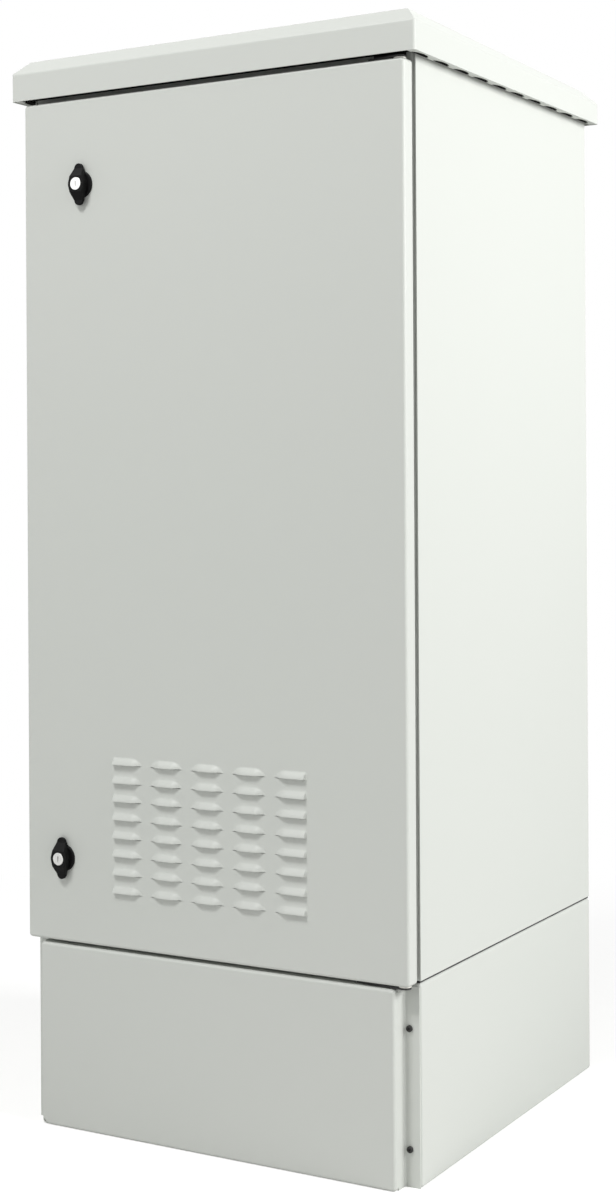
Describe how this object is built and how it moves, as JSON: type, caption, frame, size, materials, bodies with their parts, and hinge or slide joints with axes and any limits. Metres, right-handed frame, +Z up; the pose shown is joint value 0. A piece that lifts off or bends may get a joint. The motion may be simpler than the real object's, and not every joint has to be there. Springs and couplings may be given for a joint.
{
  "type": "roadside utility cabinet",
  "caption": "Free-standing sheet-steel roadside cabinet on a plinth, with a louvred door, quarter-turn latches and a rain hood.",
  "frame": {"origin": "on the floor, at the middle of the plinth's anchor holes", "axes": "+X to the right across the front, +Y from the door to the back, +Z up"},
  "size_m": [0.632, 0.636, 1.488],
  "materials": {
    "powder_coat": "light grey powder coat, semi-matt",
    "zinc_steel": "zinc plated, dull",
    "dark_fasteners": "blackened",
    "black_plastic": "fine matt black",
    "cylinder_metal": "bright satin",
    "rubber": "matt",
    "filter_fibre": "loose white fibre",
    "bush_plastic": "natural acetal",
    "brass": "plain"
  },
  "bodies": {
    "cabinet": {"back_panel": "powder_coat", "base_seal": "rubber", "base_tray": "powder_coat", "brace_lower_left": "zinc_steel", "brace_lower_right": "zinc_steel", "brace_upper_left": "zinc_steel", "brace_upper_right": "zinc_steel", "bracket_screws": "dark_fasteners", "cable_grommets": "rubber", "ceiling_panel": "powder_coat", "earth_stud": "brass", "frame_head": "powder_coat", "frame_post_left": "powder_coat", "frame_post_right": "powder_coat", "frame_sill": "powder_coat", "gland_plate": "zinc_steel", "gland_plate_screws": "zinc_steel", "hood_bolts": "zinc_steel", "hood_bosses": "powder_coat", "keeper_lower": "zinc_steel", "keeper_upper": "zinc_steel", "pivot_bracket_lower": "dark_fasteners", "pivot_bracket_upper": "dark_fasteners", "pivot_pins": "dark_fasteners", "plinth_back_cover": "powder_coat", "plinth_bolts": "zinc_steel", "plinth_cover_screws": "dark_fasteners", "plinth_front_cover": "powder_coat", "plinth_rivet_nuts": "zinc_steel", "plinth_side_left": "powder_coat", "plinth_side_right": "powder_coat", "rail_back_left": "zinc_steel", "rail_back_right": "zinc_steel", "rail_front_left": "zinc_steel", "rail_front_right": "zinc_steel", "rail_screws": "zinc_steel", "rain_hood": "powder_coat", "side_panel_left": "powder_coat", "side_panel_right": "powder_coat"},
    "door": {"door_leaf": "powder_coat", "door_stiffener_lower": "powder_coat", "door_stiffener_upper": "powder_coat", "door_gasket": "rubber", "filter_frame": "zinc_steel", "filter_mat": "filter_fibre", "lock_body_upper": "black_plastic", "lock_body_lower": "black_plastic", "lock_nuts": "zinc_steel", "pivot_bushes": "bush_plastic", "pivot_blocks": "zinc_steel"},
    "latch_upper": {"latch_knob_upper": "black_plastic", "latch_cam_upper": "zinc_steel", "cam_screw_upper": "zinc_steel"},
    "latch_lower": {"latch_knob_lower": "black_plastic", "latch_cam_lower": "zinc_steel", "cam_screw_lower": "zinc_steel"},
    "key_upper": {"key_cylinder_upper": "cylinder_metal"},
    "key_lower": {"key_cylinder_lower": "cylinder_metal"}
  },
  "joints": [
    {"name": "door_hinge", "type": "hinge", "parent": "cabinet", "child": "door", "pos_m": [0.287, -0.308, 0.8415], "axis": [0, 0, 1], "range_deg": [0, 120]},
    {"name": "latch_upper_turn", "type": "hinge", "parent": "door", "child": "latch_upper", "pos_m": [-0.2, -0.319, 1.305], "axis": [0, 1, 0], "range_deg": [0, 90]},
    {"name": "latch_lower_turn", "type": "hinge", "parent": "door", "child": "latch_lower", "pos_m": [-0.236, -0.319, 0.375], "axis": [0, 1, 0], "range_deg": [0, 90]},
    {"name": "key_upper_turn", "type": "hinge", "parent": "latch_upper", "child": "key_upper", "pos_m": [-0.2, -0.319, 1.305], "axis": [0, 1, 0], "range_deg": [0, 90]},
    {"name": "key_lower_turn", "type": "hinge", "parent": "latch_lower", "child": "key_lower", "pos_m": [-0.236, -0.319, 0.375], "axis": [0, 1, 0], "range_deg": [0, 90]}
  ]
}
